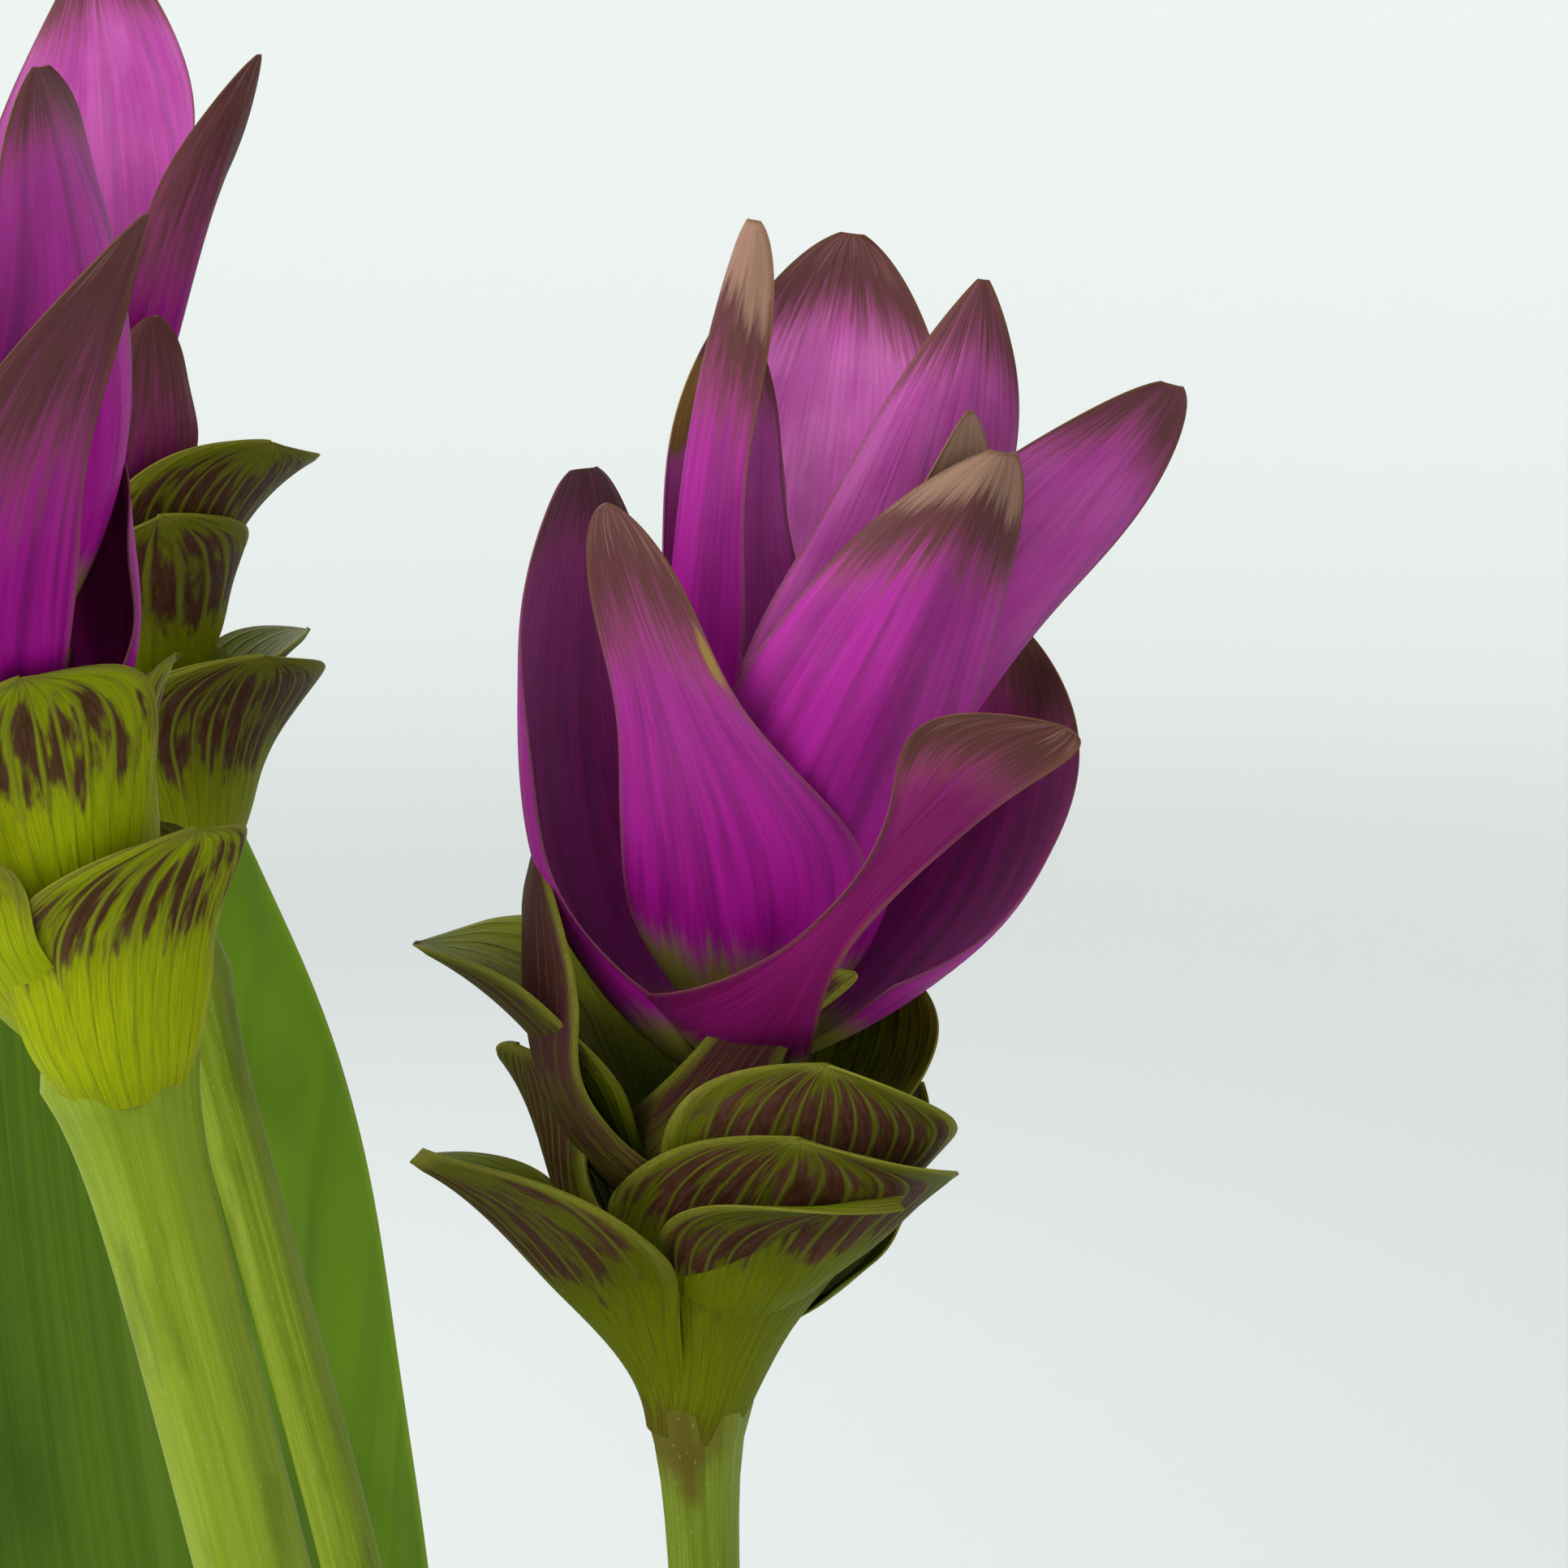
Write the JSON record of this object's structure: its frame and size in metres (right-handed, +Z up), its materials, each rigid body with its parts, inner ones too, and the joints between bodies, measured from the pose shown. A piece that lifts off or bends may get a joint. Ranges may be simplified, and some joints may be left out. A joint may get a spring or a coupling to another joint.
{
  "type": "potted curcuma plant",
  "caption": "Curcuma in bloom in a round nursery pot: flower spikes of green pouch bracts under pink coma bracts, on upright scapes clasped by broad leaves.",
  "frame": {"origin": "centre of the pot's flat underside, at the level it stands on", "axes": "+Z up along the pot's axis and the plant's height; -Y is the side seen in the picture, and +X is to the right there"},
  "size_m": [0.1769, 0.179, 0.4607],
  "materials": {
    "pot": "satin",
    "soil": "matte",
    "stem": "satin",
    "leaf": "satin",
    "green_bract": "satin",
    "pink_bract": "satin"
  },
  "bodies": {
    "root": {"coma_a_1": "pink_bract", "coma_a_10": "pink_bract", "coma_a_11": "pink_bract", "coma_a_12": "pink_bract", "coma_a_2": "pink_bract", "coma_a_3": "pink_bract", "coma_a_4": "pink_bract", "coma_a_5": "pink_bract", "coma_a_6": "pink_bract", "coma_a_7": "pink_bract", "coma_a_8": "pink_bract", "coma_a_9": "pink_bract", "coma_b_1": "pink_bract", "coma_b_2": "pink_bract", "coma_b_3": "pink_bract", "coma_b_4": "pink_bract", "coma_b_5": "pink_bract", "coma_b_6": "pink_bract", "coma_b_7": "pink_bract", "coma_c_1": "pink_bract", "coma_c_2": "pink_bract", "coma_c_3": "pink_bract", "coma_c_4": "pink_bract", "coma_c_5": "pink_bract", "coma_c_6": "pink_bract", "green_a_1": "green_bract", "green_a_10": "green_bract", "green_a_11": "green_bract", "green_a_2": "green_bract", "green_a_3": "green_bract", "green_a_4": "green_bract", "green_a_5": "green_bract", "green_a_6": "green_bract", "green_a_7": "green_bract", "green_a_8": "green_bract", "green_a_9": "green_bract", "green_b_1": "green_bract", "green_b_2": "green_bract", "green_b_3": "green_bract", "green_b_4": "green_bract", "green_b_5": "green_bract", "green_b_6": "green_bract", "green_c_1": "green_bract", "green_c_2": "green_bract", "green_c_3": "green_bract", "green_c_4": "green_bract", "green_c_5": "green_bract", "green_c_6": "green_bract", "green_c_7": "green_bract", "leaf_a_1": "leaf", "leaf_a_2": "leaf", "leaf_b_1": "leaf", "leaf_b_2": "leaf", "leaf_c_1": "leaf", "leaf_c_2": "leaf", "pot": "pot", "scape_a": "stem", "scape_b": "stem", "scape_c": "stem", "soil": "soil"}
  },
  "joints": []
}
